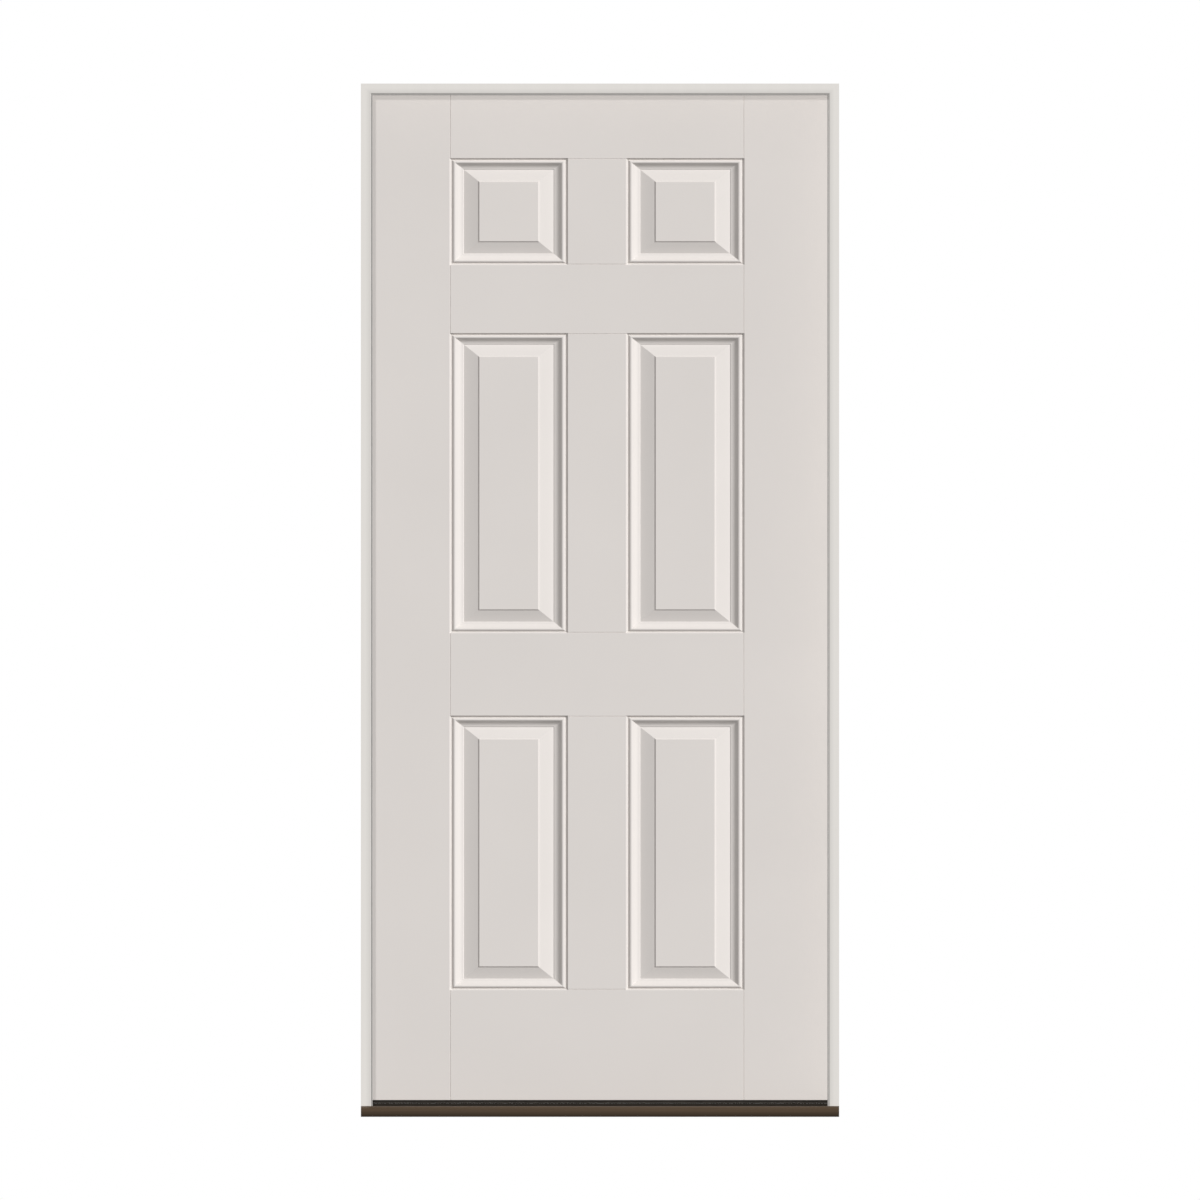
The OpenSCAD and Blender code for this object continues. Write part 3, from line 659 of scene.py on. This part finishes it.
# Each step of a fin has its share of the drop and of the lean, and is thinner than the last
fin_taper = 0.85
for part, lean in ((0.35, 0.12), (0.35, 0.33), (0.3, 0.55)):
    fins = bmesh.ops.extrude_discrete_faces(sweep, faces=fins)["faces"]
    for fin in fins:
        bmesh.ops.translate(sweep, vec=(0, -lean * fin_lean, -part * fin_drop), verts=fin.verts)
        about = Matrix.Translation(-fin.calc_center_median())
        bmesh.ops.scale(sweep, vec=(1, fin_taper, 1), space=about, verts=fin.verts)
rim = [e for e in sweep.edges if e.is_boundary]
raised = bmesh.ops.extrude_edge_only(sweep, edges=rim)["geom"]
top_verts = [g for g in raised if isinstance(g, bmesh.types.BMVert)]
bmesh.ops.translate(sweep, vec=(0, 0, sweep_t), verts=top_verts)
bmesh.ops.holes_fill(sweep, edges=[e for e in sweep.edges if e.is_boundary], sides=0)
bmesh.ops.recalc_face_normals(sweep, faces=sweep.faces)
wiper = finished("slab_sweep", sweep, sweep_vinyl, "door", "door_sweep")

# ---- Stiles, lock block and foam ----
# Clear pine stiles with the lock block glued to one of them, all under the skins.
# Their outer edges show at the sides of the slab. Foam fills the rest.
pine_pale, pine_dark = (0.62, 0.43, 0.235), (0.43, 0.255, 0.115)
pine, tree, shader, place = new_material("pine", pine_pale, 0.58)
rings = tree.nodes.new("ShaderNodeTexWave")
rings.wave_type = "BANDS"
rings.bands_direction = "Y"
rings.inputs["Scale"].default_value = 42.0
rings.inputs["Distortion"].default_value = 5.0
rings.inputs["Detail"].default_value = 3.0
rings.inputs["Detail Scale"].default_value = 0.6
stretched = tree.nodes.new("ShaderNodeMapping")
stretched.inputs["Scale"].default_value = (1, 1, 0.05)
tree.links.new(place, stretched.inputs["Vector"])
tree.links.new(stretched.outputs["Vector"], rings.inputs["Vector"])
tone = ramp(tree, rings.outputs["Fac"], [(0.25, pine_pale), (0.85, pine_dark)])
tree.links.new(tone, shader.inputs["Base Color"])
fibre = noise(tree, place, 900.0, stretch=(1, 1, 0.02), detail=3)
bump(tree, shader, fibre, 0.25, 0.0003)
dress(pine, "hinge_stile", "lock_stile", "lock_block")

foam_cream = (0.84, 0.75, 0.45)
foam, tree, shader, place = new_material("poured_foam", foam_cream, 0.9)
cells = tree.nodes.new("ShaderNodeTexVoronoi")
cells.inputs["Scale"].default_value = 900.0
tree.links.new(place, cells.inputs["Vector"])
tone = ramp(tree, cells.outputs["Distance"], [(0.1, foam_cream), (0.7, shade(foam_cream, 0.8))])
tree.links.new(tone, shader.inputs["Base Color"])
bump(tree, shader, cells.outputs["Distance"], 0.4, 0.0004)
dress(foam, "foam_core")

# ---- Hinges ----
# Three butt hinges of pressed steel, plated in satin nickel, with round corners.
# Leaves are let in flush, and a loose pin with a domed head joins their rolled knuckles.
nickel = (0.56, 0.53, 0.49)
satin_nickel, tree, shader, place = new_material("satin_nickel", nickel, 0.34, metallic=1.0)
brushed = noise(tree, place, 700.0, stretch=(1, 1, 0.04), detail=3)
drifting(tree, shader, nickel, brushed, 0.92, 1.06)
handled = ramp(tree, noise(tree, place, 24.0, detail=4), [(0.35, (0.30,) * 3), (0.7, (0.42,) * 3)])
tree.links.new(handled, shader.inputs["Roughness"])
bump(tree, shader, brushed, 0.10, 0.0001)
for height in ("bottom", "middle", "top"):
    for part in ("frame_leaf", "door_leaf", "pin"):
        dress(satin_nickel, f"{height}_hinge_{part}", arris=0.0002)

# ---- Screws ----
# Countersunk steel with cross recesses: plated to match in the hinges, bright zinc elsewhere.
# They are driven into the frame, the hinge stile and the sill base, and have no threads here.
zinc = (0.60, 0.61, 0.62)
bright_zinc, tree, shader, place = new_material("bright_zinc", zinc, 0.4, metallic=1.0)
spangle = noise(tree, place, 900.0, detail=2)
drifting(tree, shader, zinc, spangle, 0.85, 1.1)
bump(tree, shader, spangle, 0.1, 0.0001)
dress(satin_nickel, "frame_leaf_screws", "door_leaf_screws")
dress(bright_zinc, "jamb_corner_screws", "sill_screws", "cap_adjusting_screws")

# ---- Floor, light and camera ----
# A pale floor under an even sky, with a key lamp from the upper right, a low fill in front
# and a softer lamp behind the door.
middle_z = 1.0294
view_height = 2.390

floor_mesh = bmesh.new()
bmesh.ops.create_grid(floor_mesh, x_segments=1, y_segments=1, size=12)
floor_data = bpy.data.meshes.new("floor")
floor_mesh.to_mesh(floor_data)
floor_mesh.free()
floor = bpy.data.objects.new("floor", floor_data)
floor_paint = new_material("floor", (0.86, 0.86, 0.85), 0.8)[0]
floor_data.materials.append(floor_paint)
bpy.context.scene.collection.objects.link(floor)
# The floor throws no light back on the door, and doesn't show in reflections
floor.visible_diffuse = False
floor.visible_glossy = False


def aimed(name, kind, azimuth, elevation, distance, target, **settings):
    """A light or camera aimed at target, from degrees right of straight on and degrees up."""
    data = kind(name)
    for setting, value in settings.items():
        setattr(data, setting, value)
    made = bpy.data.objects.new(name, data)
    around, up = math.radians(azimuth), math.radians(elevation)
    away = Vector((math.sin(around) * math.cos(up), -math.cos(around) * math.cos(up), math.sin(up)))
    made.location = Vector(target) + away * distance
    made.rotation_euler = away.to_track_quat("Z", "Y").to_euler()
    bpy.context.scene.collection.objects.link(made)
    return made


def sun(name):
    return bpy.data.lights.new(name, "SUN")


target = (0, 0, middle_z)
key = aimed("key", sun, 47, 29, 5, target, energy=3.32, angle=math.radians(5))
low = aimed("low", sun, -8, 10, 5, target, energy=0.66, angle=math.radians(2.5))
low.visible_glossy = False
aimed("behind", sun, -140, 35, 5, target, energy=2.7, angle=math.radians(8))

# These pieces cast no shadow from the key, so that it lights the slab evenly up to its edges
passed_by = bpy.data.collections.new("key_passes_by")
for name in ("hinge_jamb", "strike_jamb", "head_jamb", "jamb_corner_screws", "sill_screws"):
    passed_by.objects.link(nodes[name])
for name in ("hinge_side_seal", "strike_side_seal", "head_seal", "strike_side_pad"):
    passed_by.objects.link(bpy.data.objects[name])
for member in passed_by.collection_objects:
    member.light_linking.link_state = "EXCLUDE"
key.light_linking.blocker_collection = passed_by
# The hinge jamb and its strip throw no bounced light on the stile beside them
nodes["hinge_jamb"].visible_diffuse = False
bpy.data.objects["hinge_side_seal"].visible_diffuse = False

world = bpy.data.worlds.new("studio")
bpy.context.scene.world = world
world.use_nodes = True
sky = world.node_tree
background = sky.nodes["Background"]
background.inputs["Color"].default_value = (1, 1, 1, 1)
backdrop = sky.nodes.new("ShaderNodeBackground")
backdrop.inputs["Color"].default_value = (1, 1, 1, 1)
backdrop.inputs["Strength"].default_value = 1.0
seen = sky.nodes.new("ShaderNodeLightPath")
# Reflections see a brighter sky than the one that lights the pieces, so that metal isn't dark,
# and the camera sees plain white behind the door
sky_strength = arithmetic(sky, "MULTIPLY_ADD", seen.outputs["Is Glossy Ray"], 0.4, 0.1)
sky.links.new(sky_strength, background.inputs["Strength"])
choice = sky.nodes.new("ShaderNodeMixShader")
sky.links.new(seen.outputs["Is Camera Ray"], choice.inputs["Fac"])
sky.links.new(background.outputs["Background"], choice.inputs[1])
sky.links.new(backdrop.outputs["Background"], choice.inputs[2])
sky.links.new(choice.outputs["Shader"], sky.nodes["World Output"].inputs["Surface"])

camera = aimed(
    "camera", bpy.data.cameras.new, 0, 0, 6, target, type="ORTHO", ortho_scale=view_height
)
bpy.context.scene.camera = camera
bpy.context.scene.view_settings.view_transform = "Standard"
